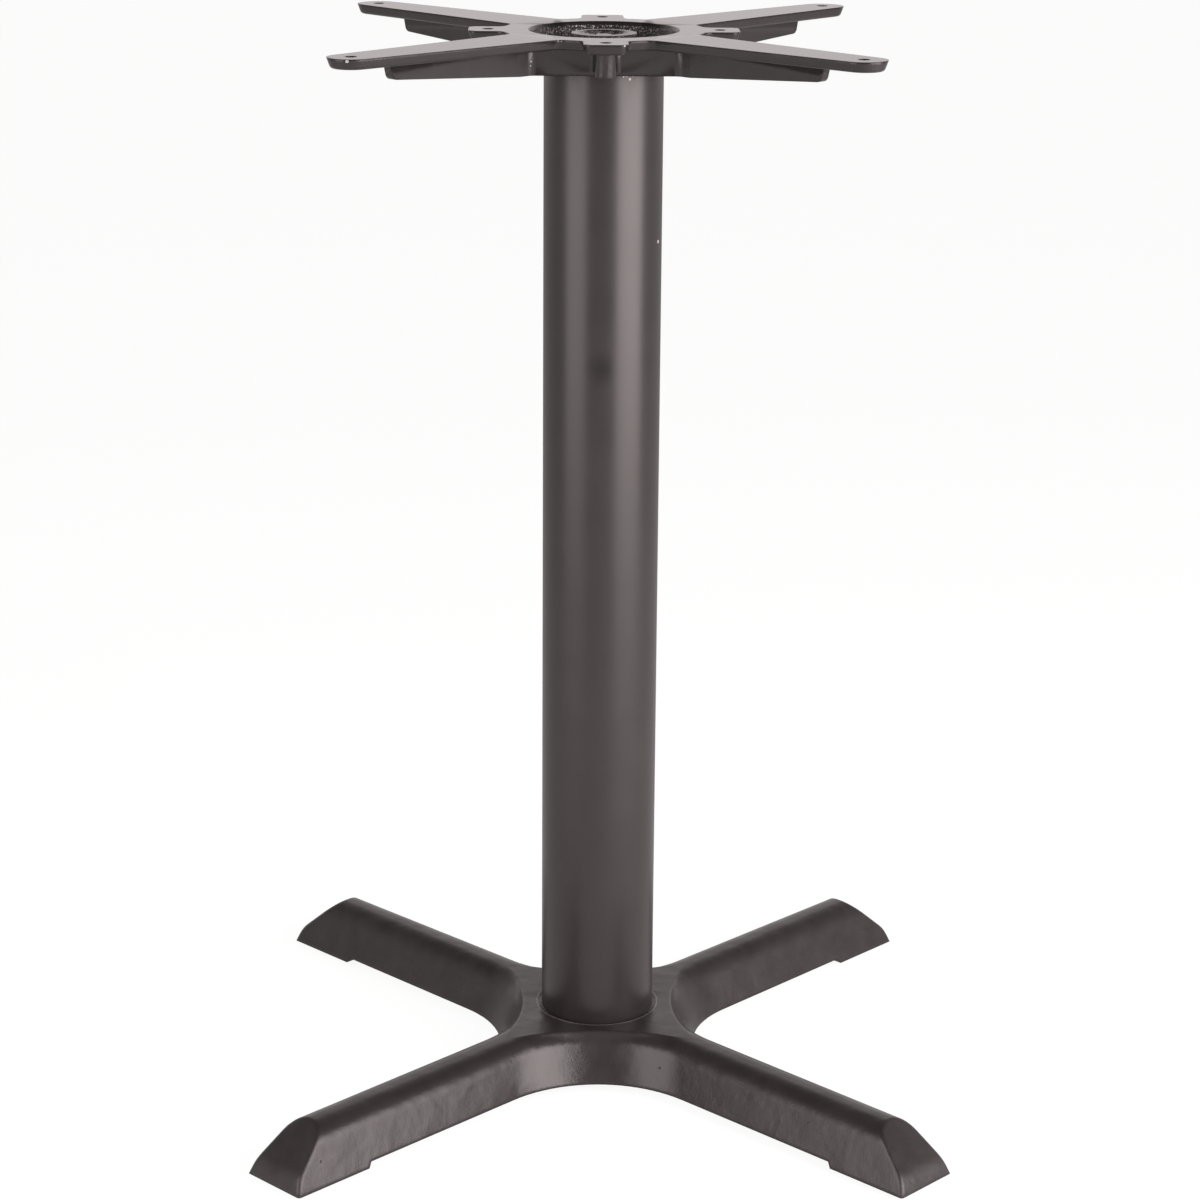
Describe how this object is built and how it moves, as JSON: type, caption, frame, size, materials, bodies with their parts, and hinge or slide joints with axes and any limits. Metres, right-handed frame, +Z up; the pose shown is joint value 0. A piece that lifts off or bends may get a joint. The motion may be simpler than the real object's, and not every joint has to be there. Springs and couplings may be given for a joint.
{
  "type": "cast iron table base",
  "caption": "Pedestal table base with a cast iron cross foot on levelling glides, a round steel column and a cast iron top spider, clamped by a tie rod.",
  "frame": {"origin": "floor level under the column's axis", "axes": "+Z up along the column, X and Y between the arms, which lie on the diagonals"},
  "size_m": [0.4466, 0.4466, 0.704],
  "materials": {
    "painted_iron": "satin black paint over a cast skin",
    "painted_steel": "satin black powder coat",
    "zinc_steel": "zinc plated",
    "glide_plastic": "moulded black nylon"
  },
  "bodies": {
    "frame": {"base_casting": "painted_iron", "column_tube": "painted_steel", "spider_casting": "painted_iron", "tie_rod": "zinc_steel", "top_nut": "zinc_steel", "top_washer": "zinc_steel", "bottom_nut": "zinc_steel", "bottom_washer": "zinc_steel"},
    "glide_1": {"glide_stud_1": "zinc_steel", "glide_foot_1": "glide_plastic"},
    "glide_2": {"glide_stud_2": "zinc_steel", "glide_foot_2": "glide_plastic"},
    "glide_3": {"glide_stud_3": "zinc_steel", "glide_foot_3": "glide_plastic"},
    "glide_4": {"glide_stud_4": "zinc_steel", "glide_foot_4": "glide_plastic"}
  },
  "joints": [
    {"name": "glide_1_level", "type": "slide", "parent": "frame", "child": "glide_1", "axis": [0, 0, -1], "range_m": [0, 0.01]},
    {"name": "glide_2_level", "type": "slide", "parent": "frame", "child": "glide_2", "axis": [0, 0, -1], "range_m": [0, 0.01]},
    {"name": "glide_3_level", "type": "slide", "parent": "frame", "child": "glide_3", "axis": [0, 0, -1], "range_m": [0, 0.01]},
    {"name": "glide_4_level", "type": "slide", "parent": "frame", "child": "glide_4", "axis": [0, 0, -1], "range_m": [0, 0.01]}
  ]
}
